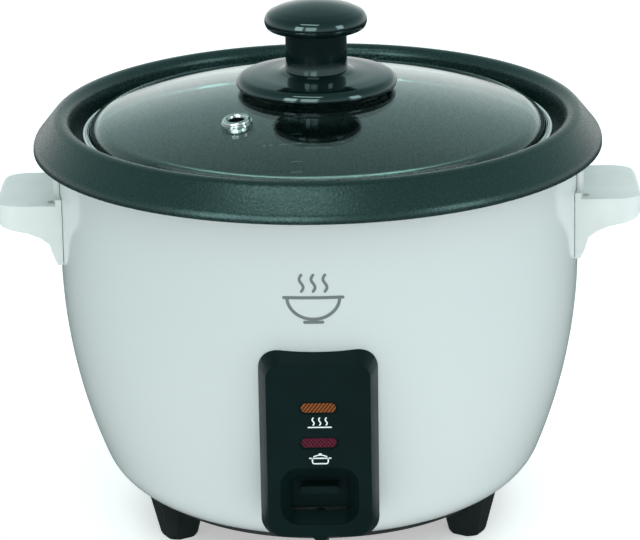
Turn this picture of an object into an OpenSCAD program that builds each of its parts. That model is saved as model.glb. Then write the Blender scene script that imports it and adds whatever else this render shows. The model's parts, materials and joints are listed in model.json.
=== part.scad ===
// Drum rice cooker with a lift-out pot, glass lid and a magnetic one-lever switch.
// Frame: +Z up, floor at z = 0, origin under the centre of the body, control panel towards -Y.

/* [Body] */
// Largest radius of the drum
body_r = 102; // [100:0.5:103]
// Height of the drum's widest line
belly_z = 108; // [106:1:110]
// Height of the drum's top edge
body_top_z = 150.6; // [150:0.1:151]
// Sheet thickness of the drum
shell_t = 1; // [0.8:0.1:1.2]

/* [Pot and lid] */
// Largest radius of the pot's rim
rim_r = 111; // [110:0.5:112]
// Inner radius of the pot's wall
pot_r = 88; // [87:0.5:88.5]
// Sheet thickness of the pot
pot_t = 1.4; // [1.2:0.1:1.5]
// Radius of the dome that the glass follows
dome_r = 320; // [310:1:330]
// Height of the glass at its centre
glass_top_z = 174.9; // [174.8:0.1:175]
// Thickness of the glass
glass_t = 3; // [2.8:0.1:3.2]

/* [Controls] */
// Width of the front panel where it meets the drum
panel_w = 44; // [43:0.5:45]
// How far the panel's face stands in front of the centre
panel_y = 107; // [106.5:0.1:107.5]
// Height of the keep-warm lens
warm_z = 81; // [80:0.5:82]
// Height of the cooking lens
cook_z = 67.3; // [66.5:0.1:68]
// Height of the middle of the lever's window
window_z = 44.6; // [44.4:0.1:44.8]

/* [Feet and handles] */
// Distance of each foot from the centre
foot_ring_r = 66; // [65:0.5:67]
// Radius of a foot where it stands
foot_r = 7.4; // [7:0.1:8]
// How far the handles reach from the centre
handle_tip_x = 126; // [125:0.5:128]
// Height of the handles' top face
handle_top_z = 133.6; // [133:0.1:134]
// Half of the handles' width
handle_half_w = 23; // [22:0.5:24]

/* [Hidden] */

$fn = 64;
eps = 0.01;
gap = 0.15;           // air between parts that fit together

white = [0.90, 0.92, 0.91];
black = [0.07, 0.08, 0.08];
steel = [0.72, 0.73, 0.74];
zinc = [0.62, 0.64, 0.66];
brass = [0.80, 0.66, 0.36];

// ---------------------------------------------------------------- helpers

// Points of a circular arc in a profile plane
function arc(c, r, from, to, n) =
    [for (i = [0:n]) let (a = from + (to - from) * i / n) [c[0] + r * cos(a), c[1] + r * sin(a)]];

function reversed(list) = [for (i = [len(list) - 1:-1:0]) list[i]];

module revolve(points) {
    rotate_extrude() polygon(points);
}

module ring(r_out, r_in, z0, z1) {
    difference() {
        translate([0, 0, z0]) cylinder(r = r_out, h = z1 - z0);
        translate([0, 0, z0 - 1]) cylinder(r = r_in, h = z1 - z0 + 2);
    }
}

// A cylinder along +Y from y0 to y1
module y_rod(r, x, z, y0, y1) {
    translate([x, y0, z]) rotate([-90, 0, 0]) cylinder(r = r, h = y1 - y0);
}

// A cylinder along +X from x0 to x1
module x_rod(r, y, z, x0, x1) {
    translate([x0, y, z]) rotate([0, 90, 0]) cylinder(r = r, h = x1 - x0);
}

module rounded_rect(w, h, r) {
    square([w - 2 * r, h], center = true);
    square([w, h - 2 * r], center = true);
    for (sx = [-1, 1], sy = [-1, 1])
        translate([sx * (w / 2 - r), sy * (h / 2 - r)]) circle(r = r);
}

// A rounded slab in the XZ plane, from y0 to y1, between two heights
module slab(w, z0, z1, r, y0, y1) {
    translate([0, y1, (z0 + z1) / 2]) rotate([90, 0, 0])
        linear_extrude(y1 - y0) rounded_rect(w, z1 - z0, r);
}

// A pan-head screw along +Z: the head's seat is at z = 0 and the thread points up
module screw(thread_r, head_r, head_h, length) {
    translate([0, 0, -0.3]) cylinder(r = thread_r, h = length + 0.3, $fn = 24);
    difference() {
        translate([0, 0, -head_h]) cylinder(r = head_r, h = head_h - 0.02, $fn = 32);
        for (a = [0, 90]) rotate([0, 0, a])
            translate([-head_r * 0.6, -head_r * 0.13, -head_h - eps])
                cube([head_r * 1.2, head_r * 0.26, head_h * 0.55]);
    }
}

// Half of a polyhedron's side faces run along the route, so the tube closes with two caps
function unit(v) = v / norm(v);
function tangent(p, i) = unit(p[min(i + 1, len(p) - 1)] - p[max(i - 1, 0)]);
function side_axis(t) = unit(cross(t, abs(t[2]) > 0.8 ? [0, 1, 0] : [0, 0, 1]));
function spline_point(p, i, u) =
    let (a = p[max(i - 1, 0)], b = p[i], c = p[i + 1], d = p[min(i + 2, len(p) - 1)])
    0.5 * (2 * b + (c - a) * u + (2 * a - 5 * b + 4 * c - d) * u * u + (3 * b - a - 3 * c + d) * u * u * u);
function smooth_route(p, steps) =
    [for (i = [0:len(p) - 2], k = [0:steps - 1]) spline_point(p, i, k / steps), p[len(p) - 1]];

// Carries each ring's side axis on from the last one, so that the tube never twists
function carried_axes(p, i = 0, last = undef) =
    i >= len(p) ? [] :
    let (t = tangent(p, i),
         raw = is_undef(last) ? side_axis(t) : last - t * (last * t),
         s = unit(raw))
    concat([s], carried_axes(p, i + 1, s));

module tube(p, r, sides = 8) {
    n = len(p);
    axes = carried_axes(p);
    points = [for (i = [0:n - 1], k = [0:sides - 1])
        let (t = tangent(p, i), s = axes[i], q = cross(t, s), a = 360 * k / sides)
        p[i] + r * (cos(a) * s + sin(a) * q)];
    walls = [for (i = [0:n - 2], k = [0:sides - 1]) let (m = (k + 1) % sides)
        [i * sides + k, (i + 1) * sides + k, (i + 1) * sides + m, i * sides + m]];
    caps = [[for (k = [0:sides - 1]) k], [for (k = [sides - 1:-1:0]) (n - 1) * sides + k]];
    polyhedron(points = points, faces = concat(walls, caps));
}

// A coil spring standing on z0, with flattened ends of half a turn
module spring(r, wire_r, z0, z1, turns, sides = 6) {
    steps = 16;
    n = turns * steps;
    rise = z1 - z0 - 2 * wire_r;
    path = [for (i = [0:n]) let (a = 360 * i / steps)
        [r * cos(a), r * sin(a), z0 + wire_r + rise * min(1, max(0, (i - steps / 2) / (n - steps)))]];
    tube(path, wire_r, sides);
}

// ---------------------------------------------------------------- the drum's outline

belly_arc = 215;      // radius of the side's curve below the belly
top_taper = 0.6;      // how much narrower the drum is at its top edge
corner_z = 30;        // where the bottom corner starts
corner_r = 24;        // radius of the bottom corner
corner_end = 74;      // how far round the bottom corner runs, in degrees below level
corner_start = asin((belly_z - corner_z) / belly_arc);
corner_c = [
    body_r - belly_arc + (belly_arc - corner_r) * cos(corner_start),
    belly_z - (belly_arc - corner_r) * sin(corner_start)
];
base_edge = arc(corner_c, corner_r, -corner_end, -corner_end, 1)[0];

// Outline from the top edge to the bottom edge, moved inwards by a distance
function drum_outline(inwards) = concat(
    [for (i = [4:-1:1]) let (u = i / 4)
        [body_r - top_taper * u * u - inwards, belly_z + (body_top_z - belly_z) * u]],
    arc([body_r - belly_arc, belly_z], belly_arc - inwards, 0, -corner_start, 18),
    arc(corner_c, corner_r - inwards, -corner_start, -corner_end, 12)
);

// Everything inside the drum, grown by the fitting gap: fitted parts are cut with it
module drum_volume() {
    edge = drum_outline(-gap);
    revolve(concat([[0, body_top_z + 5], [edge[0][0], body_top_z + 5]], edge,
        [[base_edge[0], base_edge[1] - gap], [0, base_edge[1] - gap]]));
}

// ---------------------------------------------------------------- housing

flange_in_r = 96.6;       // inner edge of the drum's top flange
base_seat_r = 66;         // inner edge of the drum's bottom flange
cutout_w = 28;            // front opening behind the panel
cutout_z = [38, 92];
panel_screw_z = [30.7, 95.6];
inlet_z = 34;             // height of the mains inlet
inlet_y = 97;             // face of the mains inlet
inlet_screw_x = 15.3;
handle_screw_y = 13;
handle_screw_z = 127;
handle_screw_r = 1.6;
base_screw_r = 68.6;      // ring of the screws that hold the base cover
base_screw_angles = [30, 150, 270];
foot_angles = [-150, -30, 90];

module outer_shell() {
    outside = drum_outline(0);
    inside = drum_outline(shell_t);
    color(white) difference() {
        revolve(concat(
            [[flange_in_r, body_top_z - shell_t], [flange_in_r, body_top_z]],
            outside,
            [[base_seat_r, base_edge[1]], [base_seat_r, base_edge[1] + shell_t]],
            reversed([for (p = inside) if (p[1] < body_top_z - shell_t) p]),
            [[inside[0][0], body_top_z - shell_t]]));
        translate([-cutout_w / 2, -body_r - 5, cutout_z[0]])
            cube([cutout_w, 30, cutout_z[1] - cutout_z[0]]);
        translate([-13.2, 60, inlet_z - 10.7]) cube([26.4, 50, 21.4]);
        for (s = [-1, 1]) y_rod(1.5, s * inlet_screw_x, inlet_z, 70, 100, $fn = 24);
        for (z = panel_screw_z) y_rod(1.8, 0, z, -body_r - 5, -70);
        for (s = [-1, 1], y = [-1, 1])
            x_rod(1.8, y * handle_screw_y, handle_screw_z, s > 0 ? 90 : -110, s > 0 ? 110 : -90);
        for (a = base_screw_angles) rotate([0, 0, a])
            translate([base_screw_r, 0, base_edge[1] - 5]) cylinder(r = 1.4, h = 10, $fn = 24);
    }
}

liner_r = 95;             // outer radius of the liner
liner_t = 0.8;
liner_floor_z = 46;       // underside of the liner's floor
liner_corner = 14;
liner_hole_r = 28;
plate_screw_r = 61;       // ring of the screws that hold the heating plate
plate_screw_angles = [90, 210, 330];
bracket_y = -58;          // lever axis
bracket_screw_y = [-70, -40];
thermostat_r = 34;        // where the keep-warm thermostat hangs
thermostat_angle = 150;

module inner_liner() {
    corner = [liner_r - liner_corner, liner_floor_z + liner_corner];
    top = body_top_z + liner_t;
    color(steel) difference() {
        revolve(concat(
            [[liner_hole_r, liner_floor_z]],
            arc(corner, liner_corner, -90, 0, 8),
            [[liner_r, body_top_z], [100, body_top_z], [100, top], [liner_r - liner_t, top]],
            arc(corner, liner_corner - liner_t, 0, -90, 8),
            [[liner_hole_r, liner_floor_z + liner_t]]));
        for (a = plate_screw_angles) rotate([0, 0, a])
            translate([plate_screw_r, 0, liner_floor_z - 1]) cylinder(r = 2.3, h = 4, $fn = 32);
        for (y = bracket_screw_y)
            translate([0, y, liner_floor_z - 1]) cylinder(r = 1.7, h = 4, $fn = 24);
        for (a = [0, 90, 180]) rotate([0, 0, a + 45])
            translate([44, 0, liner_floor_z - 1]) cylinder(r = 5, h = 4);
        rotate([0, 0, thermostat_angle])
            translate([thermostat_r, 0, liner_floor_z - 1]) cylinder(r = 8.6, h = 4);
        for (a = terminal_angles) rotate([0, 0, a])
            translate([element_r, 0, liner_floor_z - 1]) cylinder(r = 3.4, h = 4);
    }
}

base_z = 11.5;            // underside of the base cover
base_t = 2.2;
foot_boss_r = 5;

module base_cover() {
    rim = base_edge[0] - 0.5;
    seat = base_edge[1];
    color(black) difference() {
        union() {
            revolve([[0, base_z], [57, base_z], [rim, seat - 2], [rim, seat], [base_seat_r - 0.5, seat],
                [base_seat_r - 0.5, seat + 0.6], [base_seat_r - 2.5, seat + 0.6], [57, base_z + base_t],
                [0, base_z + base_t]]);
            for (a = foot_angles) rotate([0, 0, a]) translate([foot_ring_r - 5, 0, base_z + 1])
                cylinder(r = foot_boss_r, h = base_t + 2.4);
        }
        for (a = foot_angles) rotate([0, 0, a]) translate([foot_ring_r - 5, 0, 0])
            cylinder(r = 1.7, h = 30, $fn = 24);
        for (a = base_screw_angles) rotate([0, 0, a]) translate([base_screw_r, 0, base_z - 1]) {
            cylinder(r = 1.7, h = 10, $fn = 24);
            cylinder(r = 3.1, h = 3.4, $fn = 32);
        }
        for (a = [-60:24:60], s = [0, 180]) rotate([0, 0, a + s])
            translate([24, -1.6, base_z - 1]) cube([22, 3.2, base_t + 2]);
        for (a = [0:45:315]) rotate([0, 0, a])
            translate([12, 0, base_z - 1]) cylinder(r = 1.6, h = base_t + 2, $fn = 24);
    }
}

module base_screws() {
    color(zinc) for (a = base_screw_angles) rotate([0, 0, a])
        translate([base_screw_r, 0, base_z + 2.4]) screw(1.35, 2.8, 1.6, 6);
}

foot_flat = 6;            // distance from a foot's axis to its flat sides, at the floor
foot_taper = 13;          // how far the sides lean outwards, in degrees

// One tapered leg with four flat sides and rounded corners, cut to follow the drum above it
module foot(angle) {
    height = 20;
    spread = height * tan(foot_taper);
    color(black) difference() {
        rotate([0, 0, angle]) translate([foot_ring_r, 0, 0]) difference() {
            union() {
                translate([0, 0, 1]) cylinder(r1 = foot_r, r2 = foot_r + spread, h = height - 1);
                cylinder(r1 = foot_r - 0.8, r2 = foot_r + eps, h = 1 + eps);
            }
            for (a = [0:90:270]) rotate([0, 0, a]) translate([foot_flat, -20, 0]) rotate([0, foot_taper, 0])
                translate([0, 0, -5]) cube([20, 40, 40]);
            translate([-5, 0, 2.5]) cylinder(r = 1.45, h = height, $fn = 24);
        }
        drum_volume();
        revolve([[0, base_z - gap], [57, base_z - gap], [base_edge[0] - 0.5, base_edge[1] - 2 - gap],
            [base_edge[0] + gap, base_edge[1] - 2 - gap], [base_edge[0] + gap, 40], [0, 40]]);
    }
}

module foot_front_left() { foot(foot_angles[0]); }
module foot_front_right() { foot(foot_angles[1]); }
module foot_rear() { foot(foot_angles[2]); }

module foot_screws() {
    color(zinc) for (a = foot_angles) rotate([0, 0, a])
        translate([foot_ring_r - 5, 0, base_z + 1 + base_t + 2.4]) rotate([180, 0, 0]) screw(1.4, 3, 1.8, 12);
}

// ---------------------------------------------------------------- handles

handle_wall = 2.4;
flange_r = 104.2;         // outer face of the handle's mounting flange
tip_r = 5;                // rounding under the handle's tip
finger_z = 124.2;         // underside of the handle's side walls near the tip

// Outline of the grip seen from the front, inset by a wall
function grip_outline(inset) = concat(
    [[95, handle_top_z - inset]],
    arc([handle_tip_x - 2, handle_top_z - 2], 2 - inset * 0.5, 90, 0, 4),
    arc([handle_tip_x - tip_r, finger_z + tip_r], tip_r - inset, 0, -70, 6),
    [[113, finger_z - 1.6], [108, finger_z - 3.6], [104.6, finger_z - 6.2], [103.8, 115], [102.6, 111.6],
        [101.4, 109.6], [95, 109.6]]);

module grip_plan(inset) {
    depth = handle_tip_x - 80 - inset;
    translate([80 + depth / 2, 0])
        rounded_rect(depth, 2 * (handle_half_w - inset), 10 - inset);
}

module handle() {
    color(white) difference() {
        union() {
            intersection() {
                translate([0, 0, 100]) linear_extrude(50) grip_plan(0);
                translate([0, 40, 0]) rotate([90, 0, 0]) linear_extrude(80) polygon(grip_outline(0));
            }
            intersection() {
                ring(flange_r, 95, 109.6, body_top_z - 1);
                union() {
                    translate([90, -handle_half_w, 105]) cube([20, 2 * handle_half_w, 31]);
                    translate([90, -16, 130]) cube([20, 32, 30]);
                }
            }
        }
        // the finger space under the grip, open below
        difference() {
            translate([0, 0, 90]) linear_extrude(handle_top_z - handle_wall - 90)
                intersection() {
                    grip_plan(handle_wall);
                    translate([flange_r + 0.8, -40]) square([60, 80]);
                }
            for (y = [-1, 1])
                x_rod(3.6, y * handle_screw_y, handle_screw_z, 100, flange_r + 7);
        }
        for (y = [-1, 1]) {
            x_rod(1.65, y * handle_screw_y, handle_screw_z, 95, flange_r + 5.5);
            translate([flange_r - 1, y * 17.2, handle_top_z - 3]) cylinder(r = 2.1, h = 30);
        }
        drum_volume();
    }
}

module handle_left() { mirror([1, 0, 0]) handle(); }
module handle_right() { handle(); }

module handle_screws() {
    seat = body_r - shell_t - 1.6;
    color(zinc) for (s = [0, 180], y = [-1, 1]) rotate([0, 0, s])
        translate([seat, y * handle_screw_y, handle_screw_z]) rotate([0, 90, 0])
            screw(handle_screw_r, 3.1, 1.8, 10);
}

// ---------------------------------------------------------------- control panel

panel_wall = 2;
panel_bevel = 2.8;        // how much smaller the panel's face is on each side
panel_z = [27.2, 102.2];
face_z = [30, 98.4];
panel_base_y = 100;       // where the bevelled sides start
lens_w = 12.8;
lens_h = 3.6;
dish_w = 29;              // finger dish round the lever's window
dish_z = [34.8, 57.4];
window_w = 21.5;
window_h = 12.6;
dish_depth = 5;

module panel_block(wall) {
    hull() {
        slab(panel_w - 2 * wall, panel_z[0] + wall, panel_z[1] - wall, 8 - wall, -panel_base_y, -70);
        slab(panel_w - 2 * panel_bevel - 2 * wall, face_z[0] + wall, face_z[1] - wall,
            6 - wall * 0.5, -panel_y + wall * 1, -panel_y + wall + 1);
    }
}

module dish(extra) {
    hull() {
        slab(dish_w + 2 * extra, dish_z[0] - extra, dish_z[1] + extra, 7 + extra,
            -panel_y - (extra > 0 ? 0 : 1), -panel_y + 0.6);
        slab(window_w + 2 * extra, window_z - window_h / 2 - extra, window_z + window_h / 2 + extra, 1 + extra,
            -panel_y + dish_depth, -panel_y + dish_depth + 1);
    }
}

module front_panel() {
    color(black) difference() {
        union() {
            difference() {
                panel_block(0);
                panel_block(panel_wall);
            }
            intersection() {
                panel_block(0.5);
                dish(1.5);
            }
            for (z = panel_screw_z) y_rod(3.2, 0, z, -panel_y + 1, -84);
            for (x = [-10.2, 10.2]) y_rod(1.6, x, 74.2, -panel_y + 1, -98.4);
        }
        dish(0);
        slab(window_w, window_z - window_h / 2, window_z + window_h / 2, 1, -panel_y, -90);
        for (z = [warm_z, cook_z]) {
            slab(lens_w + 1.8, z - lens_h / 2 - 0.7, z + lens_h / 2 + 0.7, lens_h / 2 + 0.65, -panel_y - 1, -panel_y + 0.6);
            slab(lens_w + 0.1, z - lens_h / 2 - 0.05, z + lens_h / 2 + 0.05, lens_h / 2, -panel_y - 1, -panel_y + 4);
        }
        for (z = panel_screw_z) y_rod(1.45, 0, z, -panel_y + 2.2, -80);
        drum_volume();
    }
}

module panel_screws() {
    color(zinc) {
        translate([0, -99.9, panel_screw_z[1]]) rotate([90, 0, 0]) screw(1.4, 2.9, 1.7, 4.7);
        translate([0, -83.6, panel_screw_z[0]]) rotate([90, 0, 0]) screw(1.4, 2.9, 1.7, 14);
    }
}

module lens(z) {
    slab(lens_w, z - lens_h / 2, z + lens_h / 2, lens_h / 2 - 0.05, -panel_y + 0.3, -panel_y + panel_wall + 0.1);
    slab(lens_w + 3, z - lens_h / 2 - 1.4, z + lens_h / 2 + 1.4, 1, -panel_y + panel_wall + 0.1, -panel_y + panel_wall + 1.2);
}

module warm_lens() { color([0.85, 0.42, 0.10]) lens(warm_z); }
module cook_lens() { color([0.62, 0.10, 0.22]) lens(cook_z); }

board_y = -98.3;

module lamp_board() {
    color([0.55, 0.45, 0.20]) difference() {
        translate([-12.5, board_y, 60]) cube([25, 1.4, 28]);
        for (z = [warm_z, cook_z], x = [-6.6, 6.6]) y_rod(0.5, x, z, board_y - 1, board_y + 3, $fn = 16);
    }
    color([0.80, 0.72, 0.55]) for (x = [-4, 4]) translate([x, board_y - 1.25, 70.5])
        cylinder(r = 1.2, h = 7, $fn = 24);
}

// Neon lamps lying behind the lenses, each on two bent leads
module indicator_lamps() {
    lamp_y = board_y - 2.6;
    color([0.95, 0.75, 0.60]) for (z = [warm_z, cook_z]) {
        x_rod(2, lamp_y, z, -5, 4);
        translate([4, lamp_y, z]) sphere(r = 2);
        for (x = [-6.6, 6.6]) y_rod(0.35, x, z, lamp_y - 0.35, board_y + 0.8, $fn = 16);
        x_rod(0.35, lamp_y, z, -6.6, -5 + eps, $fn = 16);
        x_rod(0.35, lamp_y, z, 5.9, 6.6, $fn = 16);
    }
}

// ---------------------------------------------------------------- lever and switch

bracket_z = 38;           // height of the lever's axis
pin_r = 1.5;
fork_z = 28.8;            // top face of the lever's fork at rest
bar_w = 8;
bar_t = 1.5;
tab_y = -72;              // where the lever presses the switch
tab_z = 39.2;

// Centre line of the bent lever strip, from the fork to the knob, seen from the side
lever_line = [[7, fork_z - bar_t / 2], [-12, fork_z - bar_t / 2], [-34, 34.5], [bracket_y, bracket_z + 4.2],
    [-76, 42.4], [-94, 45.9]];

// Corner points of a strip on one side of its centre line, with mitred bends
function across(a, b) = let (d = (b - a) / norm(b - a)) [-d[1], d[0]];
function strip_side(line, offset) = [for (i = [0:len(line) - 1])
    let (p = across(line[max(i - 1, 0)], line[max(i, 1)]),
         q = across(line[min(i, len(line) - 2)], line[min(i + 1, len(line) - 1)]))
    line[i] + offset * (p + q) / (1 + p * q)];

module lever_strip(line, t, w) {
    translate([-w / 2, 0, 0]) rotate([90, 0, 90]) linear_extrude(w)
        polygon(concat(strip_side(line, t / 2), reversed(strip_side(line, -t / 2))));
}

module lever_bar() {
    color(zinc) difference() {
        union() {
            lever_strip(lever_line, bar_t, bar_w);
            x_rod(4, bracket_y, bracket_z, -6, 6);
            translate([-3, bracket_y - 2, bracket_z + 2]) cube([6, 4, 2.8]);
            translate([-4, tab_y - 2, tab_z + 2.2]) cube([18, 4, 1.2]);
            translate([12.6, tab_y - 2, tab_z]) cube([1.4, 4, 3.4]);
        }
        x_rod(pin_r + 0.05, bracket_y, bracket_z, -10, 10);
        translate([-2.7, -2.7, fork_z - 3]) cube([5.4, 20, 6]);
    }
}

// Black grip on the lever, with the shield that closes the window behind it
module lever_knob() {
    z = window_z + 3;
    color(black) difference() {
        union() {
            slab(14.2, z - 1.5, z + 1.5, 1.2, -104.6, -96);
            slab(23.6, z - 9.4, z + 8, 1.5, -98.2, -96.4);
            slab(9.6, z - 4.4, z + 1.2, 0.6, -96.5, -90);
        }
        translate([-bar_w / 2 - 0.1, -94.1, 45.9]) rotate([atan2(-3.5, 18), 0, 0])
            translate([0, 0, -bar_t / 2 - 0.1]) cube([bar_w + 0.2, 20, bar_t + 0.2]);
    }
}

module lever_pin() {
    color(steel) {
        x_rod(pin_r, bracket_y, bracket_z, -10.6, 10.6);
        for (s = [-1, 1]) x_rod(2.3, bracket_y, bracket_z, s > 0 ? 9.6 : -10.6, s > 0 ? 10.6 : -9.6);
    }
}

module lever_bracket() {
    color(zinc) difference() {
        union() {
            translate([-9.4, -75, liner_floor_z - 1.2 - gap]) cube([18.8, 39, 1.2]);
            for (x = [-9.4, 8.2]) translate([x, -66, bracket_z - 4]) cube([1.2, 16, liner_floor_z - bracket_z + 3.4]);
            translate([8.2, -82, 26]) cube([1.2, 32, 12.5]);
        }
        x_rod(pin_r + 0.05, bracket_y, bracket_z, -20, 20);
        for (y = bracket_screw_y) translate([0, y, 40]) cylinder(r = 1.55, h = 10, $fn = 24);
        for (p = switch_holes) x_rod(1.3, p[0], p[1], 5, 12, $fn = 24);
    }
}

module bracket_screws() {
    color(zinc) for (y = bracket_screw_y) translate([0, y, liner_floor_z + liner_t]) rotate([180, 0, 0])
        screw(1.5, 2.9, 1.6, 2.6);
}

switch_holes = [[-78, 29], [-64, 29]];
switch_x = [9.4, 15.8];
switch_y = [-81, -61];
switch_top_z = 37;

module micro_switch() {
    color([0.15, 0.15, 0.17]) difference() {
        translate([switch_x[0], switch_y[0], 26]) cube([switch_x[1] - switch_x[0], 20, switch_top_z - 26]);
        for (p = switch_holes) x_rod(1.25, p[0], p[1], 5, 20, $fn = 24);
        translate([13.3 - 1.1, tab_y - 1.1, switch_top_z - 4]) cube([2.2, 2.2, 6]);
    }
    color(brass) for (y = [-78, -71, -64])
        translate([(switch_x[0] + switch_x[1]) / 2 - 0.4, y - 1.6, 23]) cube([0.8, 3.2, 3 + eps]);
}

module switch_plunger() {
    color([0.75, 0.15, 0.12]) translate([13.3 - 1, tab_y - 1, switch_top_z - 2.4])
        cube([2, 2, tab_z - 0.3 - switch_top_z + 2.4]);
}

module switch_screws() {
    color(zinc) for (p = switch_holes) translate([switch_x[1], p[0], p[1]]) rotate([0, -90, 0])
        screw(1.15, 2.1, 1.2, 8);
}

// ---------------------------------------------------------------- heating and thermostat

plate_top_z = 60;
plate_t = 7;
plate_r = 67;
element_r = 50;
element_gap = 28;         // angle left open between the heater's two ends
terminal_angles = [90 - element_gap / 2 - 3.2, 90 + element_gap / 2 + 3.2];
tube_r = 3.2;
cap_r = 17.5;
cap_t = 0.8;
lift = 2.5;               // how far the sensor cap springs up without the pot

module heating_plate() {
    under = plate_top_z - plate_t;
    color([0.74, 0.74, 0.73]) difference() {
        union() {
            revolve([[18.5, 51], [23, 51], [25, under], [43, under], [44, 51], [56, 51], [57, under],
                [plate_r - 1, under], [plate_r, under + 1], [plate_r, plate_top_z - 2],
                [plate_r - 2, plate_top_z], [18.5, plate_top_z]]);
            for (a = plate_screw_angles) rotate([0, 0, a]) translate([plate_screw_r, 0, liner_floor_z + liner_t])
                cylinder(r = 4, h = under - liner_floor_z - liner_t + eps);
        }
        rotate_extrude() translate([element_r, 50.6]) circle(r = tube_r + 0.05);
        for (a = plate_screw_angles) rotate([0, 0, a]) translate([plate_screw_r, 0, 40])
            cylinder(r = 2.05, h = 16, $fn = 32);
        for (a = housing_screw_angles) rotate([0, 0, a]) translate([26.5, 0, 48])
            cylinder(r = 1.3, h = 8, $fn = 24);
    }
}

// Tubular heater under the plate, with a gap at the rear and two terminal pins
module heating_element() {
    open_x = 90 * sin(element_gap / 2);
    open_y = 90 * cos(element_gap / 2);
    color([0.35, 0.33, 0.31]) {
        difference() {
            rotate_extrude() translate([element_r, 50.6]) circle(r = tube_r);
            linear_extrude(100) polygon([[0, 0], [-open_x, open_y], [0, 100], [open_x, open_y]]);
        }
        for (a = terminal_angles) rotate([0, 0, a]) translate([element_r, 0, 0]) {
            translate([0, 0, 40]) cylinder(r = 2.4, h = 9, $fn = 32);
            translate([0, 0, 33]) cylinder(r = 1.2, h = 8, $fn = 24);
        }
    }
}

module plate_screws() {
    color(zinc) for (a = plate_screw_angles) rotate([0, 0, a])
        translate([plate_screw_r, 0, liner_floor_z]) screw(2, 3.6, 2.2, 9);
}

housing_screw_angles = [90, 210, 330];

module thermostat_housing() {
    color(zinc) difference() {
        union() {
            ring(21.6, 20.8, 36, 51);
            ring(21.6, 2.6, 36, 37);
            for (a = housing_screw_angles) rotate([0, 0, a]) translate([21, -4, 50]) cube([8.5, 8, 1]);
        }
        for (a = housing_screw_angles) rotate([0, 0, a]) translate([26.5, 0, 48])
            cylinder(r = 1.6, h = 4, $fn = 24);
        for (a = [0:60:300]) rotate([0, 0, a]) translate([15, 0, 35]) cylinder(r = 2.5, h = 3, $fn = 24);
        translate([0, 0, 51]) cylinder(r = 40, h = 5);
    }
}

module housing_screws() {
    color(zinc) for (a = housing_screw_angles) rotate([0, 0, a]) translate([26.5, 0, 50 - eps])
        screw(1.25, 2.4, 1.4, 4.5);
}

module sensor_cap() {
    color([0.80, 0.80, 0.79]) revolve([[0, plate_top_z - cap_t], [cap_r - cap_t, plate_top_z - cap_t],
        [cap_r - cap_t, 47.5], [19.8, 47.5], [19.8, 48.3], [cap_r, 48.3], [cap_r, plate_top_z - 1],
        [cap_r - 1, plate_top_z - 0.05], [0, plate_top_z - 0.05]]);
}

ferrite_z = [54.2, plate_top_z - cap_t];

module ferrite_disc() {
    color([0.20, 0.20, 0.21]) translate([0, 0, ferrite_z[0]])
        cylinder(r = 13, h = ferrite_z[1] - ferrite_z[0]);
}

magnet_z = [43.6, 49.2];

module magnet() {
    color([0.28, 0.27, 0.28]) ring(12, 2.1, magnet_z[0], magnet_z[1]);
}

// Cup, flange and stem that carry the magnet; the lever's fork lifts the collar
module magnet_carrier() {
    color(steel) {
        revolve([[0, magnet_z[0] - 0.8], [16, magnet_z[0] - 0.8], [16, magnet_z[0]], [12.9, magnet_z[0]],
            [12.9, magnet_z[1] - 1], [12.1, magnet_z[1] - 1], [12.1, magnet_z[0]], [2, magnet_z[0]],
            [2, magnet_z[1]], [0, magnet_z[1]]]);
        translate([0, 0, 22]) cylinder(r = 2, h = magnet_z[0] - 22 - 0.5, $fn = 32);
        translate([0, 0, fork_z + 0.6]) cylinder(r = 3.9, h = 1.2);
        translate([0, 0, 22]) cylinder(r = 3.4, h = 1.2);
    }
}

module sensor_spring() { color(steel) spring(19, 0.55, 37, 47.5, 5); }
module return_spring() { color(steel) spring(14.9, 0.45, magnet_z[0], plate_top_z - cap_t, 6); }

module keep_warm_thermostat() {
    color([0.86, 0.80, 0.68]) rotate([0, 0, thermostat_angle]) translate([thermostat_r, 0, 0]) {
        translate([0, 0, 48.4]) cylinder(r = 8, h = 4.4);
        translate([0, 0, 43.2]) cylinder(r = 6.2, h = 5.3);
    }
    color(brass) rotate([0, 0, thermostat_angle]) for (s = [-1, 1]) translate([thermostat_r, s * 4.5, 0])
        translate([-1.5, -0.4, 37]) cube([3, 0.8, 6.3]);
}

module thermal_fuse() {
    color([0.82, 0.82, 0.80]) translate([0, -33, 50.8]) {
        x_rod(1.9, 0, 0, -5, 5);
        x_rod(0.5, 0, 0, -13, 13, $fn = 16);
    }
}

module fuse_clip() {
    color(zinc) translate([0, -33, 0]) {
        for (s = [-1, 1]) translate([s > 0 ? 5.2 : -6.2, -3, 48.6]) difference() {
            cube([1, 6, 4.4]);
            translate([-1, 3, 2.2]) rotate([0, 90, 0]) cylinder(r = 0.6, h = 3, $fn = 24);
        }
        translate([-6.2, -3, 47.8]) cube([12.4, 6, 0.9]);
    }
}

// ---------------------------------------------------------------- mains inlet

recess_w = 24.2;
recess_h = 16.6;
recess_depth = 15;

module inlet_housing() {
    color(black) difference() {
        union() {
            slab(38, inlet_z - 12.5, inlet_z + 12, 3, 70, inlet_y);
            slab(26, inlet_z - 10.5, inlet_z + 10.5, 2, 78, 88);
        }
        difference() {
            drum_volume();
            slab(26, inlet_z - 10.5, inlet_z + 10.5, 2, 78, 94);
        }
        slab(recess_w, inlet_z - recess_h / 2, inlet_z + recess_h / 2, 2,
            inlet_y - recess_depth, inlet_y + 1);
        translate([-30, 60, 0]) cube([60, 18, 80]);
        for (x = inlet_pin_x) translate([x[0] - 2.05, 60, inlet_z + x[1] - 1.05]) cube([4.1, 40, 2.1]);
        for (s = [-1, 1]) y_rod(1.5, s * inlet_screw_x, inlet_z, 80, inlet_y + 1, $fn = 24);
        for (s = [-1, 1]) y_rod(2.8, s * inlet_screw_x, inlet_z, inlet_y - 1.4, inlet_y + 1, $fn = 32);
    }
}

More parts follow.
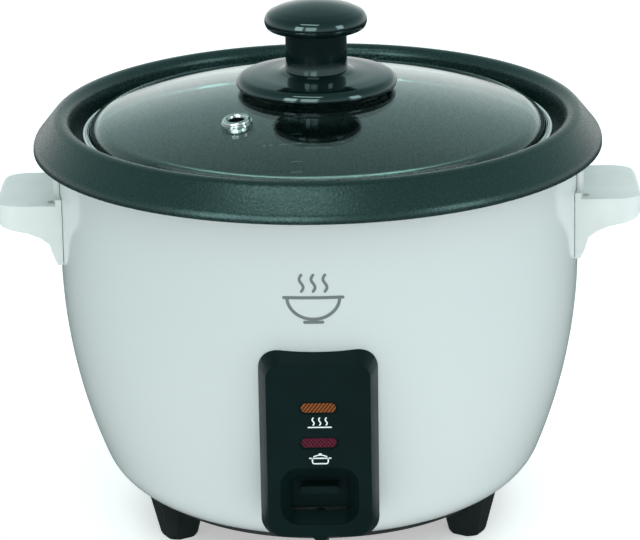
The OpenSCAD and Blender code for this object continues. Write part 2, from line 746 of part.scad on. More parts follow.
inlet_pin_x = [[-7, 1.6], [0, -2.4], [7, 1.6]];

module inlet_pins() {
    color(brass) for (x = inlet_pin_x) {
        translate([x[0] - 2, 74, inlet_z + x[1] - 1]) cube([4, inlet_y - 78.5, 2]);
        translate([x[0] - 2.4, 72, inlet_z + x[1] - 0.4]) cube([4.8, 5.9, 0.8]);
    }
}

module inlet_screws() {
    color(zinc) for (s = [-1, 1]) translate([s * inlet_screw_x, inlet_y - 1.4, inlet_z])
        rotate([90, 0, 0]) screw(1.4, 2.6, 1.3, 12);
}

// ---------------------------------------------------------------- wiring

wire_r = 1.25;
line_route = [[-7, 71, 35.6], [-7, 66, 34], [-10, 60, 25], [-24, 46, 19.6], [-36, 20, 18.4], [-36, -14, 18.4],
    [-24, -44, 20], [-4, -58, 24], [8, -67, 22], [11.8, -70.4, 20.2], [12.6, -71, 22]];
neutral_route = [[7, 71, 35.6], [8, 66, 34], [12, 60, 27], [16, 52, 25], [16.2, 48.4, 29], [14.8, 47.8, 31.4]];
earth_route = [[0, 71, 31.6], [0, 67, 30], [4, 60, 22.5], [18, 46, 21], [30, 32, 26], [34, 26, 36], [34.4, 24, 45.6]];
lamp_route = [[11.6, -97.6, 59.2], [13.2, -97.4, 55.6], [12.6, -92.5, 46], [12.8, -86.4, 38.6], [18.4, -79, 30],
    [18.8, -70, 23], [15.4, -64.8, 20], [12.6, -64, 22]];

module line_wire() { color([0.45, 0.25, 0.12]) tube(smooth_route(line_route, 4), wire_r); }
module neutral_wire() { color([0.15, 0.30, 0.62]) tube(smooth_route(neutral_route, 4), wire_r); }
module earth_wire() { color([0.35, 0.60, 0.20]) tube(smooth_route(earth_route, 4), wire_r); }
module lamp_wire() { color([0.85, 0.85, 0.82]) tube(smooth_route(lamp_route, 4), 0.8); }

// ---------------------------------------------------------------- pot

pot_floor_z = 61.44;       // inside of the pot's floor
pot_corner = 20;
seat_z = 153.6;           // ledge that carries the lid
crest_c = [100.4, 161.7]; // centre of the rim's rounded crest
crest_r = 4;
slope_a = 39;             // the rim's outer face falls at 90 degrees less than this
lip_r = 4.5;
lip_bottom_z = 152.6;
lip_c = [rim_r - lip_r, crest_c[1] + (crest_r - lip_r) * sin(slope_a)
    - (rim_r - lip_r - crest_c[0] - (crest_r - lip_r) * cos(slope_a)) / tan(slope_a)];

// The pot's sheet seen in section: its inner face, or its outer face a sheet thickness away
function pot_face(t) = concat(
    [[0, pot_floor_z - t]],
    arc([pot_r - pot_corner, pot_floor_z + pot_corner], pot_corner + t, -90, 0, 8),
    [[pot_r + t, seat_z - t], [crest_c[0] - crest_r + t, seat_z - t]],
    arc(crest_c, crest_r - t, 180, slope_a, 12),
    arc(lip_c, lip_r - t, slope_a, 0, 8),
    [[rim_r - t, lip_bottom_z]]);

module inner_pot() {
    color([0.10, 0.13, 0.13]) {
        revolve(concat(pot_face(0), reversed(pot_face(pot_t))));
        // raised water-level marks on the rear wall, sunk a little into it
        for (i = [0:4]) rotate([0, 0, 90 + (i % 2 == 0 ? 7 : 9)])
            translate([pot_r - 0.35, -3 + (i % 2), 92 + i * 9]) cube([0.6, i % 2 == 0 ? 8 : 5, 0.7]);
    }
}

// ---------------------------------------------------------------- lid

dome_c = glass_top_z - dome_r;
edge_bend_r = 9;          // the glass bends down at its edge round this radius
edge_slope = 15.2;        // slope of the dome where the bend starts
edge_c = [(dome_r - edge_bend_r) * sin(edge_slope), dome_c + (dome_r - edge_bend_r) * cos(edge_slope)];
glass_edge_r = edge_c[0] + edge_bend_r;
ring_r = 92;
vent_r = 50.9;            // where the vent sits, from the centre
vent_angle = 234.2;        // and round from +X
vent_tilt = asin(vent_r / dome_r);

module on_dome() {
    translate([0, 0, dome_c]) rotate([0, 0, vent_angle]) rotate([0, vent_tilt, 0]) translate([0, 0, dome_r])
        children();
}

// The glass seen in section: its outer face, or its inner face a thickness below
function glass_face(depth) = concat(
    arc([0, dome_c], dome_r - depth, 90, 90 - edge_slope, 24),
    arc(edge_c, edge_bend_r - depth, 90 - edge_slope, 0, 10),
    [[glass_edge_r - depth, seat_z + 0.65]]);

module lid_glass() {
    color([0.75, 0.85, 0.83, 0.4]) difference() {
        revolve(concat(glass_face(0), reversed(glass_face(glass_t))));
        translate([0, 0, 160]) cylinder(r = 3.2, h = 30, $fn = 32);
        on_dome() translate([0, 0, -15]) cylinder(r = 4.1, h = 30, $fn = 48);
    }
}

module lid_ring() {
    low = seat_z + 0.05;
    top = seat_z + 4.35;
    wall = glass_edge_r + 0.12;
    color(steel) revolve(concat(
        [[ring_r - 3.6, low], [ring_r - 0.4, low], [ring_r, low + 0.4], [ring_r, top]],
        arc([ring_r - 0.75, top], 0.75, 15, 160, 8),
        [[ring_r - 1.5, top], [ring_r - 1.7, top + 0.05], [ring_r - 2, top + 0.8], [ring_r - 2.15, top + 0.85],
            [ring_r - 2.1, top + 0.6], [ring_r - 1.85, top + 0.15], [ring_r - 1.6, top - 0.65],
            [wall, top - 0.95], [wall, low + 0.45], [ring_r - 3.6, low + 0.45]]));
}

module steam_vent() {
    color([0.85, 0.86, 0.86]) on_dome() {
        difference() {
            union() {
                ring(4, 3.1, -glass_t - 1.4, 1.4);
                translate([0, 0, 0.1]) cylinder(r = 5.9, h = 0.9);
                rotate_extrude() translate([4.4, 1.5]) circle(r = 0.95, $fn = 32);
                translate([0, 0, -glass_t - 1.1]) cylinder(r = 5.4, h = 0.8);
            }
            translate([0, 0, -20]) cylinder(r = 3.1, h = 40, $fn = 48);
        }
    }
}

saucer_r = 31.4;
neck_r = 12.3;
cap_top_z = 208;

module knob_base() {
    color(black) revolve(concat(
        [[9.1, 176.1], [14.5, 176.1], [15.5, 177], [26.5, 175.2], [28.4, 174.2], [30.2, 174.5], [31.1, 175.2]],
        arc([saucer_r - 3.3, 175.9], 3.3, 0, 72, 10),
        [[24.5, 179.75], [19, 180.1], [15.2, 180.5], [14, 180.8], [13.3, 181.1], [9.1, 181.1]]));
}

module knob_grip() {
    color(black) difference() {
        revolve(concat(
            [[0, 176.2], [8.9, 176.2], [8.9, 181.2], [neck_r, 181.2], [neck_r - 0.3, 184]],
            [[neck_r - 0.4, 196.6], [neck_r + 0.5, 197.2]],
            arc([17.2, 199.8], 2.5, -90, -15, 8),
            [[19.9, 200.1]],
            arc([19.9 - 4.2, 200.6], 4.2, 0, 52, 8),
            arc([0, cap_top_z - 46], 46, 70.5, 90, 10)));
        translate([0, 0, 170]) cylinder(r = 2.55, h = 24, $fn = 32);
        ring(8, 5, 170, 198);
    }
}

module knob_gasket() { color([0.80, 0.80, 0.78]) ring(12.5, 3.2, glass_top_z + 0.02, 176.08); }

module knob_washer() {
    low = glass_top_z - glass_t;
    color(steel) ring(8, 2.7, low - 1.3, low - 0.28);
}

module knob_screw() {
    color(steel) translate([0, 0, glass_top_z - glass_t - 1.32]) screw(2.45, 4.8, 2.4, 21);
}

// ---------------------------------------------------------------- assembly

outer_shell();
inner_liner();
base_cover();
base_screws();
foot_front_left();
foot_front_right();
foot_rear();
foot_screws();
handle_left();
handle_right();
handle_screws();
front_panel();
panel_screws();
warm_lens();
cook_lens();
lamp_board();
indicator_lamps();
lever_bar();
lever_knob();
lever_pin();
lever_bracket();
bracket_screws();
micro_switch();
switch_plunger();
switch_screws();
heating_plate();
heating_element();
plate_screws();
thermostat_housing();
housing_screws();
sensor_cap();
ferrite_disc();
sensor_spring();
magnet();
magnet_carrier();
return_spring();
keep_warm_thermostat();
thermal_fuse();
fuse_clip();
inlet_housing();
inlet_pins();
inlet_screws();
line_wire();
neutral_wire();
earth_wire();
lamp_wire();
inner_pot();
lid_glass();
lid_ring();
steam_vent();
knob_base();
knob_grip();
knob_gasket();
knob_washer();
knob_screw();
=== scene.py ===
"""Looks of the drum rice cooker: camera, finishes, light, floor, printed marks and the return spring."""
import json
import math

import bpy
from mathutils import Matrix, Vector


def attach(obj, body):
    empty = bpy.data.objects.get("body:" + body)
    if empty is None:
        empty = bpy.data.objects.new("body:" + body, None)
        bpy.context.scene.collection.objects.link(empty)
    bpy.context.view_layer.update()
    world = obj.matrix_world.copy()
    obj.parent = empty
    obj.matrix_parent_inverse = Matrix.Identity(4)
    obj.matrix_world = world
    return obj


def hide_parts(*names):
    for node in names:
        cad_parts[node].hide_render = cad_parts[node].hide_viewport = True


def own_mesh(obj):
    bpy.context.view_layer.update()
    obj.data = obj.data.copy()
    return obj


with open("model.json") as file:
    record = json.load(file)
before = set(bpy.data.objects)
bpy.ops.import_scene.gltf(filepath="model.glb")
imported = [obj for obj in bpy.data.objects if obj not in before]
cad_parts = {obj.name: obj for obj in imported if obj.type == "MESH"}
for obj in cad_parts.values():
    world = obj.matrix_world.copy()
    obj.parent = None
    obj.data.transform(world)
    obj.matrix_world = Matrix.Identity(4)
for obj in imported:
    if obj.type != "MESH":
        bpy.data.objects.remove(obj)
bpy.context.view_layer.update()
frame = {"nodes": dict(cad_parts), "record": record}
NODES = frame["nodes"]
MM = 0.001


# ------------------------------------------------------------------ camera

def look_from(distance, azimuth, elevation, target, roll):
    """A camera looking at target from a direction; azimuth 0 is the front, and roll turns the picture."""
    az, el = math.radians(azimuth), math.radians(elevation)
    away = Vector((math.sin(az) * math.cos(el), -math.cos(az) * math.cos(el), math.sin(el)))
    camera = bpy.data.objects.new("camera", bpy.data.cameras.new("camera"))
    bpy.context.scene.collection.objects.link(camera)
    facing = (-away).to_track_quat("-Z", "Y").to_matrix().to_4x4()
    camera.matrix_world = Matrix.Translation(target + away * distance) @ facing @ Matrix.Rotation(
        math.radians(roll), 4, "Z")
    return camera


camera = look_from(1.2, 0.8, 18.5, Vector((0.0, 0.0, 0.0985)), -1.0)
camera.data.sensor_width = 36
camera.data.lens = 169.8
camera.data.clip_start = 0.05
bpy.context.scene.camera = camera
bpy.context.scene.view_settings.view_transform = "Standard"


# ------------------------------------------------------------------ materials

class Finish:
    """A Principled material with a small node graph that gives its surface grain."""

    def __init__(self, name, color, rough=0.4, metallic=0.0, **sockets):
        self.material = bpy.data.materials.new(name)
        self.material.use_nodes = True
        self.tree = self.material.node_tree
        self.shader = self.tree.nodes["Principled BSDF"]
        self.set("Base Color", (*color, 1.0))
        self.set("Roughness", rough)
        self.set("Metallic", metallic)
        for key, value in sockets.items():
            self.set(key.replace("_", " "), value)
        self.coords = self.tree.nodes.new("ShaderNodeTexCoord").outputs["Object"]
        self.normal = None

    def set(self, socket, value):
        self.shader.inputs[socket].default_value = value

    def node(self, kind, **values):
        made = self.tree.nodes.new(kind)
        for key, value in values.items():
            made.inputs[key].default_value = value
        return made

    def link(self, a, b):
        self.tree.links.new(a, b)

    def stretched(self, scale):
        """Object coordinates with each axis scaled."""
        mapping = self.node("ShaderNodeMapping", Scale=scale)
        self.link(self.coords, mapping.inputs["Vector"])
        return mapping.outputs["Vector"]

    def noise(self, scale, detail=3.0, stretch=(1, 1, 1)):
        """Soft noise from 0 to 1, with scale in features per metre."""
        made = self.node("ShaderNodeTexNoise", Scale=scale, Detail=detail)
        self.link(self.stretched(stretch), made.inputs["Vector"])
        return made.outputs["Fac"]

    def cells(self, scale):
        """Distance to the nearest of many scattered points."""
        made = self.node("ShaderNodeTexVoronoi", Scale=scale)
        self.link(self.coords, made.inputs["Vector"])
        return made.outputs["Distance"]

    def ranged(self, value, low, high, at=(0.3, 0.7)):
        """A value spread from the range `at` to the range low to high."""
        made = self.tree.nodes.new("ShaderNodeMapRange")
        made.inputs["From Min"].default_value, made.inputs["From Max"].default_value = at
        made.inputs["To Min"].default_value, made.inputs["To Max"].default_value = low, high
        self.link(value, made.inputs["Value"])
        return made.outputs["Result"]

    def mottle(self, value, dark, light, at=(0.3, 0.7)):
        """Blends two colours by a texture value."""
        made = self.tree.nodes.new("ShaderNodeMix")
        made.data_type = "RGBA"
        made.inputs[6].default_value, made.inputs[7].default_value = (*dark, 1.0), (*light, 1.0)
        self.link(self.ranged(value, 0.0, 1.0, at), made.inputs[0])
        self.link(made.outputs[2], self.shader.inputs["Base Color"])

    def rough(self, value, low, high, at=(0.3, 0.7)):
        """Lets the roughness follow a texture value."""
        self.link(self.ranged(value, low, high, at), self.shader.inputs["Roughness"])

    def bump(self, value, depth):
        """Adds relief of a depth in metres on top of the relief before it."""
        made = self.node("ShaderNodeBump", Strength=1.0, Distance=depth)
        self.link(value, made.inputs["Height"])
        if self.normal:
            self.link(self.normal, made.inputs["Normal"])
        self.normal = made.outputs["Normal"]
        self.link(self.normal, self.shader.inputs["Normal"])


def tint(color, factor):
    """A colour made lighter or darker."""
    return tuple(min(1.0, c * factor) for c in color)


def plastic(name, color, rough, grain, coat=0.0, scale=900.0):
    """Moulded plastic; grain is the depth of its texture in metres."""
    f = Finish(name, color, rough, Coat_Weight=coat, Coat_Roughness=0.06)
    f.mottle(f.noise(60.0), tint(color, 0.94), tint(color, 1.05))
    f.rough(f.noise(140.0), rough * 0.88, rough * 1.12)
    f.bump(f.noise(scale, 2.0), grain)
    return f


def gloss_black(name, color, rough, shine):
    """Moulded black plastic with a polished skin."""
    f = Finish(name, color, rough, Specular_IOR_Level=shine)
    f.set("Specular Tint", (0.7, 1.0, 1.0, 1.0))
    f.mottle(f.noise(60.0), tint(color, 0.9), tint(color, 1.1))
    f.rough(f.noise(140.0), rough * 0.93, rough * 1.07)
    f.bump(f.noise(260.0, 2.0), 0.000003)
    return f


def metal(name, color, rough, stretch=(1, 1, 1), grain=0.00002, scale=500.0):
    """Bare metal; stretch draws its texture out into brush lines."""
    f = Finish(name, color, rough, 1.0)
    f.mottle(f.noise(90.0, 3.0, stretch), tint(color, 0.9), tint(color, 1.06))
    f.rough(f.noise(scale * 0.5, 3.0, stretch), rough * 0.8, rough * 1.25)
    f.bump(f.noise(scale, 2.0, stretch), grain)
    return f


def enamel():
    """The drum's smooth white coat."""
    f = Finish("white_enamel", (0.67, 0.70, 0.70), 0.24, Coat_Weight=0.5, Coat_Roughness=0.08)
    f.mottle(f.noise(7.0, 1.0), (0.66, 0.69, 0.69), (0.68, 0.71, 0.71), (0.0, 1.0))
    f.rough(f.noise(12.0), 0.225, 0.255, (0.0, 1.0))
    f.bump(f.noise(3500.0, 1.0), 0.0000003)
    return f


def nonstick():
    """Charcoal coating with a fine pebbled grain and tiny bright flecks."""
    f = Finish("nonstick", (0.0075, 0.0215, 0.020), 0.34, Specular_IOR_Level=0.5)
    f.set("Specular Tint", (0.62, 1.0, 0.97, 1.0))
    flecks = f.cells(1300.0)
    f.mottle(flecks, (0.05, 0.10, 0.095), (0.007, 0.020, 0.0185), (0.05, 0.2))
    f.rough(f.noise(1100.0, 2.0), 0.20, 0.36)
    f.bump(f.noise(1150.0, 2.0), 0.00010)
    return f


def glass():
    """The lid's tinted clear glass."""
    f = Finish("lid_glass", (0.66, 0.83, 0.80), 0.0, IOR=1.5, Transmission_Weight=1.0)
    f.rough(f.noise(30.0, 2.0), 0.0, 0.012)
    f.mottle(f.noise(8.0, 1.0), (0.64, 0.815, 0.785), (0.68, 0.845, 0.815))
    return f


def lens(name, dark, light, glow, ribs):
    """Clear tinted plastic, ribbed at the back: one set of slanting ribs, or two that cross. The ribs'
    shade and glints are painted into its colour as dark and light bands.
    """
    f = Finish(
        name, light, 0.22, Coat_Weight=0.4, Coat_Roughness=0.08,
        Emission_Strength=glow, Specular_IOR_Level=0.3)
    f.set("Emission Color", (*light, 1.0))
    rib_shade_bands = None
    for angle in ribs:
        turned = f.node("ShaderNodeMapping", Rotation=(0.0, math.radians(angle), 0.0))
        f.link(f.coords, turned.inputs["Vector"])
        wave = f.node("ShaderNodeTexWave", Scale=290.0, Distortion=0.0)
        f.link(turned.outputs["Vector"], wave.inputs["Vector"])
        if rib_shade_bands is None:
            rib_shade_bands = wave.outputs["Fac"]
        else:
            both = f.tree.nodes.new("ShaderNodeMath")
            both.operation = "MULTIPLY"
            f.link(rib_shade_bands, both.inputs[0])
            f.link(wave.outputs["Fac"], both.inputs[1])
            rib_shade_bands = both.outputs[0]
    # painted shade and highlight: dark and light bands in the colour stand for how the ribs catch the light
    f.mottle(rib_shade_bands, dark, light, (0.25, 0.75))
    f.rough(f.noise(900.0), 0.18, 0.3)
    f.bump(rib_shade_bands, 0.00008)
    return f


FINISHES = {
    "white_enamel": enamel(),
    "white_plastic": plastic("white_plastic", (0.80, 0.825, 0.81), 0.34, 0.000003, coat=0.2, scale=2500.0),
    "nonstick_black": nonstick(),
    "lid_glass": glass(),
    "panel_black": gloss_black("panel_black", (0.0046, 0.0120, 0.0125), 0.31, 0.12),
    "knob_black": gloss_black("knob_black", (0.003, 0.008, 0.0085), 0.09, 0.7),
    "foot_black": plastic("foot_black", (0.0045, 0.010, 0.0095), 0.5, 0.00004),
    "base_black": plastic("base_black", (0.012, 0.014, 0.014), 0.55, 0.00005),
    "switch_black": plastic("switch_black", (0.012, 0.012, 0.014), 0.45, 0.00003),
    "plunger_red": plastic("plunger_red", (0.45, 0.03, 0.02), 0.4, 0.00002),
    "board_brown": plastic("board_brown", (0.22, 0.11, 0.035), 0.5, 0.00003),
    "ceramic_tan": plastic("ceramic_tan", (0.56, 0.43, 0.27), 0.7, 0.00008, scale=600.0),
    "fuse_white": plastic("fuse_white", (0.66, 0.65, 0.62), 0.5, 0.00003),
    "gasket_silicone": plastic("gasket_silicone", (0.55, 0.56, 0.54), 0.6, 0.00003),
    "wire_brown": plastic("wire_brown", (0.10, 0.035, 0.015), 0.42, 0.00003),
    "wire_blue": plastic("wire_blue", (0.02, 0.07, 0.28), 0.42, 0.00003),
    "wire_green": plastic("wire_green", (0.09, 0.27, 0.04), 0.42, 0.00003),
    "wire_white": plastic("wire_white", (0.62, 0.62, 0.58), 0.42, 0.00003),
    "ferrite": plastic("ferrite", (0.02, 0.02, 0.022), 0.62, 0.00008, scale=700.0),
    "ring_steel": metal("ring_steel", (0.78, 0.80, 0.80), 0.16, (1, 1, 9), 0.000006),
    "vent_chrome": metal("vent_chrome", (0.66, 0.70, 0.70), 0.15, grain=0.000002),
    "liner_steel": metal("liner_steel", (0.66, 0.67, 0.68), 0.33, (1, 1, 8), 0.00001),
    "cap_aluminium": metal("cap_aluminium", (0.72, 0.72, 0.71), 0.28, grain=0.00001),
    "cast_aluminium": metal("cast_aluminium", (0.60, 0.60, 0.60), 0.42, grain=0.00008, scale=350.0),
    "element_steel": metal("element_steel", (0.17, 0.155, 0.14), 0.5, grain=0.00005),
    "zinc_steel": metal("zinc_steel", (0.58, 0.60, 0.61), 0.3, grain=0.00001),
    "spring_steel": metal("spring_steel", (0.50, 0.50, 0.51), 0.25, grain=0.000005),
    "pin_brass": metal("pin_brass", (0.78, 0.58, 0.26), 0.26, grain=0.00001),
    "amber_lens": lens("amber_lens", (0.05, 0.011, 0.002), (0.30, 0.075, 0.008), 0.02, (-38,)),
    "red_lens": lens("red_lens", (0.060, 0.003, 0.013), (0.15, 0.006, 0.035), 0.02, (40, -40)),
    "lamp_glass": Finish("lamp_glass", (0.95, 0.80, 0.68), 0.05, Transmission_Weight=0.9, IOR=1.45),
}
FINISHES["lamp_glass"].bump(FINISHES["lamp_glass"].noise(200.0), 0.00002)


def smooth_cad(node):
    """Shades a CAD node smoothly except over its real edges; its vertices stay as they are."""
    if "custom_normal" in node.data.attributes:
        node.data.attributes.remove(node.data.attributes["custom_normal"])
    node.data.shade_smooth()
    node.modifiers.new("weld", "WELD").merge_threshold = 0.01 * MM
    split = node.modifiers.new("edges", "EDGE_SPLIT")
    split.split_angle = math.radians(27)
    split.use_edge_sharp = False


for row in frame["record"]["subparts"]:
    node = NODES[row["node"]]
    node.data.materials.clear()
    node.data.materials.append(FINISHES[row["material_slot"]].material)
    smooth_cad(node)


# ------------------------------------------------------------------ light and floor

# Colour of the sky by the height of the direction looked in, from -1 straight down to 1 straight up
SKY = (
    (-1.0, (0.045, 0.07, 0.07)),
    (-0.22, (0.07, 0.10, 0.10)),
    (-0.08, (0.92, 0.98, 0.98)),
    (0.07, (0.98, 1.0, 1.0)),
    (0.20, (0.74, 0.86, 0.85)),
    (0.36, (0.47, 0.64, 0.63)),
    (0.66, (0.32, 0.48, 0.47)),
    (1.0, (0.22, 0.34, 0.335)),
)


def area_light(name, place, target, size, power, color):
    """A rectangular light at a place, turned towards a target."""
    light = bpy.data.lights.new(name, "AREA")
    light.shape = "RECTANGLE"
    light.size, light.size_y = size
    light.energy = power
    light.color = color
    made = bpy.data.objects.new(name, light)
    bpy.context.scene.collection.objects.link(made)
    place = Vector(place)
    facing = (Vector(target) - place).to_track_quat("-Z", "Y").to_matrix().to_4x4()
    made.matrix_world = Matrix.Translation(place) @ facing
    return made


def studio():
    """A sky that is bright at the horizon, windows and a skylight for reflections, and soft lights."""
    world = bpy.data.worlds.new("studio")
    bpy.context.scene.world = world
    world.use_nodes = True
    tree = world.node_tree
    coords = tree.nodes.new("ShaderNodeTexCoord")
    split = tree.nodes.new("ShaderNodeSeparateXYZ")
    height = tree.nodes.new("ShaderNodeMapRange")
    height.inputs["From Min"].default_value = -1.0
    ramp = tree.nodes.new("ShaderNodeValToRGB")
    tree.links.new(coords.outputs["Generated"], split.inputs[0])
    tree.links.new(split.outputs["Z"], height.inputs["Value"])
    tree.links.new(height.outputs["Result"], ramp.inputs["Fac"])
    tree.links.new(ramp.outputs["Color"], tree.nodes["Background"].inputs["Color"])
    stops = [((at + 1.0) / 2.0, (*color, 1.0)) for at, color in SKY]
    first, last = ramp.color_ramp.elements
    first.position, first.color = stops[0]
    last.position, last.color = stops[-1]
    for at, color in stops[1:-1]:
        ramp.color_ramp.elements.new(at).color = color
    front = (0, -0.05, 0.15)
    # these are seen only in reflections
    for made in (
            area_light("window_left", (-1.20, -1.55, 0.72), front, (0.62, 1.3), 15.0, (0.95, 1.0, 0.99)),
            area_light("window_mid", (-0.35, -1.95, 0.72), front, (0.85, 1.3), 15.0, (0.97, 1.0, 0.99)),
            area_light("skylight", (-0.27, -0.77, 1.65), front, (0.95, 0.30), 5.0, (0.93, 1.0, 0.98)),
            area_light("window_right", (1.62, -1.05, 0.70), front, (0.55, 1.1), 10.0, (0.92, 0.97, 1.0))):
        made.visible_diffuse = False
    # these light the object and are not seen in reflections
    for made in (
            area_light("key", (0.7, -1.9, 1.1), front, (1.2, 1.2), 4.2, (1.0, 0.98, 1.0)),
            area_light("side", (2.0, -0.5, 0.6), front, (1.2, 1.2), 3.0, (0.90, 0.88, 1.0)),
            area_light("top", (0.0, -0.1, 1.7), (0, 0, 0.1), (2.4, 2.4), 17.0, (1.0, 0.97, 0.98))):
        made.visible_glossy = False


def floor():
    """A wide plain floor that reflections leave out."""
    mesh = bpy.data.meshes.new("floor")
    half = 4.0
    corners = [(-half, -half, 0), (half, -half, 0), (half, half, 0), (-half, half, 0)]
    mesh.from_pydata(corners, [], [(0, 1, 2, 3)])
    made = bpy.data.objects.new("floor", mesh)
    bpy.context.scene.collection.objects.link(made)
    f = Finish("floor", (0.95, 0.95, 0.95), 0.7, Emission_Strength=0.42)
    f.set("Emission Color", (1.0, 0.975, 0.975, 1.0))
    f.mottle(f.noise(3.0), (0.94, 0.94, 0.94), (0.955, 0.955, 0.955))
    made.data.materials.append(f.material)
    made.visible_glossy = False


studio()
floor()


# ------------------------------------------------------------------ printed marks

# The surfaces that carry the prints, in millimetres
DRUM_R = 102.0          # the drum at its belly
BELLY_Z = 108.0         # height of the belly
DRUM_TOP_Z = 150.6      # height of the drum's upper edge
TOP_TAPER = 0.6         # how much narrower the drum is at its upper edge
BELLY_ARC = 215.0       # radius of the drum's curve below the belly
PANEL_FACE_Y = -107.0   # the panel's face
PRINT_LIFT = 0.03       # how far a print stands off its surface
POT_MARK_R = 87.9       # radius of the level marks, just inside the pot's upright wall
CAP_STEPS = 8           # segments in the rounded end of a stroke


def mesh_piece(name, points, faces, finish, body, thickness=0.0):
    """A named mesh piece, given in millimetres, that rides on a body."""
    mesh = bpy.data.meshes.new(name)
    mesh.from_pydata([Vector(p) * MM for p in points], [], faces)
    mesh.validate()
    made = bpy.data.objects.new(name, mesh)
    bpy.context.scene.collection.objects.link(made)
    made.data.materials.append(finish.material)
    if thickness:
        skin = made.modifiers.new("thickness", "SOLIDIFY")
        skin.thickness, skin.offset = thickness * MM, 0.0
    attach(made, body)
    return made


def stroke(line, width):
    """Corner points and faces of a flat stroke along a line of (u, v) points, with rounded ends."""
    pts = [Vector(p) for p in line]
    left, right = [], []
    for i, p in enumerate(pts):
        d = (pts[min(i + 1, len(pts) - 1)] - pts[max(i - 1, 0)]).normalized()
        side = Vector((-d.y, d.x)) * width / 2
        left.append(p + side)
        right.append(p - side)
    points, faces = [], []
    for a, b in zip(left, right):
        points += [a, b]
    for i in range(len(pts) - 1):
        faces.append((2 * i, 2 * i + 1, 2 * i + 3, 2 * i + 2))
    for end, other in ((0, 1), (len(pts) - 1, len(pts) - 2)):
        out = (pts[end] - pts[other]).normalized()
        start = math.atan2(out.y, out.x) - math.pi / 2
        base = len(points)
        for k in range(CAP_STEPS + 1):
            a = start + math.pi * k / CAP_STEPS
            points.append(pts[end] + Vector((math.cos(a), math.sin(a))) * width / 2)
        faces.append(tuple(range(base, len(points))))
    return points, faces


def joined(shapes):
    """Several shapes as one list of points and one of faces."""
    points, faces = [], []
    for more_points, more_faces in shapes:
        faces += [tuple(i + len(points) for i in f) for f in more_faces]
        points += more_points
    return points, faces


def wave(u, v0, v1, sway, steps=16):
    """An upright wavy line from height v0 to v1."""
    shares = [k / steps for k in range(steps + 1)]
    return [(u + sway * math.sin(2 * math.pi * t), v0 + (v1 - v0) * t) for t in shares]


def bow(u0, u1, v, drop, steps=24):
    """A line from u0 to u1 that sags by drop; it is straight when drop is 0."""
    shares = [k / steps for k in range(steps + 1)]
    return [(u0 + (u1 - u0) * t, v - drop * math.sin(math.pi * t)) for t in shares]


def bowl_icon(scale):
    """A plain bowl on a foot with three wisps of steam."""
    half = 8.0 * scale
    depth = 0.86 * half
    below = [math.pi * (1 + k / 32) for k in range(33)]
    shapes = [
        stroke(bow(-1.12 * half, 1.12 * half, 0, 0), scale),
        stroke([(half * math.cos(a), depth * math.sin(a)) for a in below], scale),
        stroke(bow(-0.34 * half, 0.34 * half, -0.98 * half, 0), scale),
    ]
    for u in (-3.6, 0, 3.6):
        shapes.append(stroke(wave(u * scale, 2.0 * scale, 7.2 * scale, 0.6 * scale), 0.9 * scale))
    return joined(shapes)


def drum_radius(z):
    """The drum's outer radius at a height, in millimetres."""
    if z > BELLY_Z:
        return DRUM_R - TOP_TAPER * ((z - BELLY_Z) / (DRUM_TOP_Z - BELLY_Z)) ** 2
    return DRUM_R - BELLY_ARC + math.sqrt(BELLY_ARC ** 2 - (BELLY_Z - z) ** 2)


def on_drum(points, x, z):
    """Lays flat artwork on the front of the drum, centred at x and z."""
    placed = []
    for p in points:
        px, pz = x + p.x, z + p.y
        placed.append((px, -math.sqrt((drum_radius(pz) + PRINT_LIFT) ** 2 - px ** 2), pz))
    return placed


def on_panel(points, x, z):
    """Lays flat artwork on the panel, centred at x and z."""
    return [(x + p.x, PANEL_FACE_Y - PRINT_LIFT, z + p.y) for p in points]


def on_pot(points):
    """Lays flat artwork on the rear of the pot's wall, by its own heights."""
    return [(p.x, math.sqrt(POT_MARK_R ** 2 - p.x ** 2), p.y) for p in points]


def ink(name, color, rough=0.4):
    """Printing ink with a faint grain."""
    f = Finish(name, color, rough)
    f.mottle(f.noise(400.0), tint(color, 0.93), tint(color, 1.04))
    f.bump(f.noise(900.0), 0.000004)
    return f


GREY_INK = ink("grey_ink", (0.16, 0.185, 0.19))
WHITE_INK = ink("white_ink", (0.86, 0.89, 0.89))
MARK_INK = ink("mark_ink", (0.22, 0.30, 0.30), 0.5)

points, faces = bowl_icon(1.2)
mesh_piece("bowl_print", on_drum(points, -1.2, 122.0), faces, GREY_INK, "base", 0.04)

# keep warm: three wisps of steam over a line
wisps = [stroke(wave(u, -0.2, 2.6, 0.34), 0.5) for u in (-2.4, 0, 2.4)]
points, faces = joined(wisps + [stroke(bow(-4.2, 4.2, -1.1, 0), 0.5)])
mesh_piece("warm_print", on_panel(points, 0.4, 74.6), faces, WHITE_INK, "base", 0.03)

# cook: a lidded pot with two handles
half_pot = [(2.3, -1.55), (2.7, -1.35), (2.9, -0.9), (2.9, 0.6)]
pot_side = [(-u, v) for u, v in reversed(half_pot)] + half_pot
points, faces = joined([
    stroke(pot_side, 0.5), stroke(bow(-3.9, 3.9, 0.6, 0), 0.5), stroke(bow(-2.4, 2.4, 1.25, -0.6), 0.45),
    stroke([(-0.35, 2.3), (0.35, 2.3)], 0.5)])
mesh_piece("cook_print", on_panel(points, 0.4, 60.7), faces, WHITE_INK, "base", 0.03)

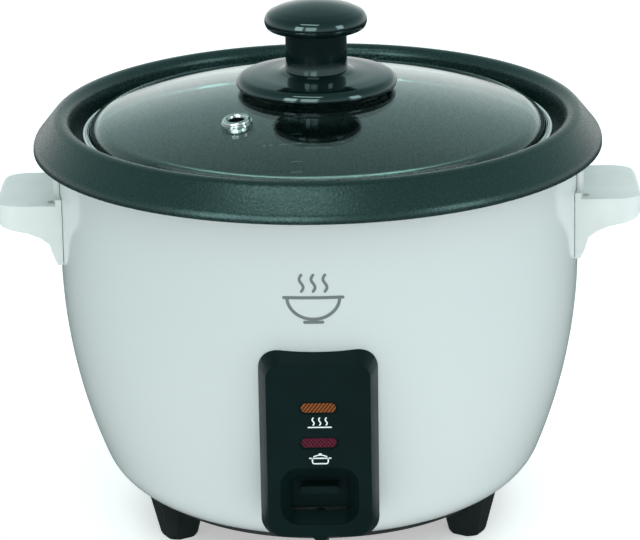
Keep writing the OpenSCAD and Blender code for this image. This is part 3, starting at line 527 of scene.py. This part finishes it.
# water level marks: long and short lines, with dashes beside them
LEVELS = (76.0, 87.6, 99.2, 111.7, 123.8)
levels = []
for z in LEVELS:
    levels.append(stroke(bow(-6.4, 4.4, z, 0), 0.6))
    levels.append(stroke(bow(-17.4, -8.2, z + 2.0 + (z - LEVELS[-1]) * 0.1, 0), 0.6))
    levels.append(stroke(bow(-12.4, -8.0, z + 6.2, 0), 0.5))
    levels.append(stroke([(9.2, z + 2.2), (9.9, z + 2.2)], 0.7))
    levels.append(stroke([(-24.2, z + 2.0), (-23.4, z + 2.0)], 0.6))
    levels.append(stroke([(-21.4, z + 2.0), (-20.6, z + 2.0)], 0.6))
points, faces = joined(levels)
mesh_piece("level_marks", on_pot(points), faces, MARK_INK, "pot", 0.04)


# ------------------------------------------------------------------ the return spring

SPRING_R = 14.9        # middle of the wire
SPRING_WIRE_R = 0.45
SPRING_LOW = 43.6      # its lower end at rest, on the magnet
SPRING_HIGH = 59.2     # its upper end at rest, under the sensor's cap
SPRING_TURNS = 6


def coil(name, radius, wire, z0, z1, turns, finish, body):
    """A coil spring with flattened end turns, in millimetres."""
    steps, sides = 40, 10
    count = turns * steps
    points, faces = [], []
    for i in range(count + 1):
        angle = 2 * math.pi * i / steps
        share = min(1.0, max(0.0, (i - steps / 2) / (count - steps)))
        z = z0 + wire + (z1 - z0 - 2 * wire) * share
        for k in range(sides):
            a = 2 * math.pi * k / sides
            r = radius + wire * math.cos(a)
            points.append((r * math.cos(angle), r * math.sin(angle), z + wire * math.sin(a)))
    for i in range(count):
        for k in range(sides):
            m = (k + 1) % sides
            faces.append((i * sides + k, i * sides + m, (i + 1) * sides + m, (i + 1) * sides + k))
    faces += [tuple(range(sides))[::-1], tuple(count * sides + k for k in range(sides))]
    made = mesh_piece(name, points, faces, finish, body)
    made.data.shade_smooth()
    return made


# the real spring shortens as the magnet rises towards the cap; here it keeps its rest length and rides on
# the magnet's slide
spring = coil(
    "return_coil", SPRING_R, SPRING_WIRE_R, SPRING_LOW, SPRING_HIGH, SPRING_TURNS, FINISHES["spring_steel"],
    "magnet_slide")
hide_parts("return_spring")
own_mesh(spring)
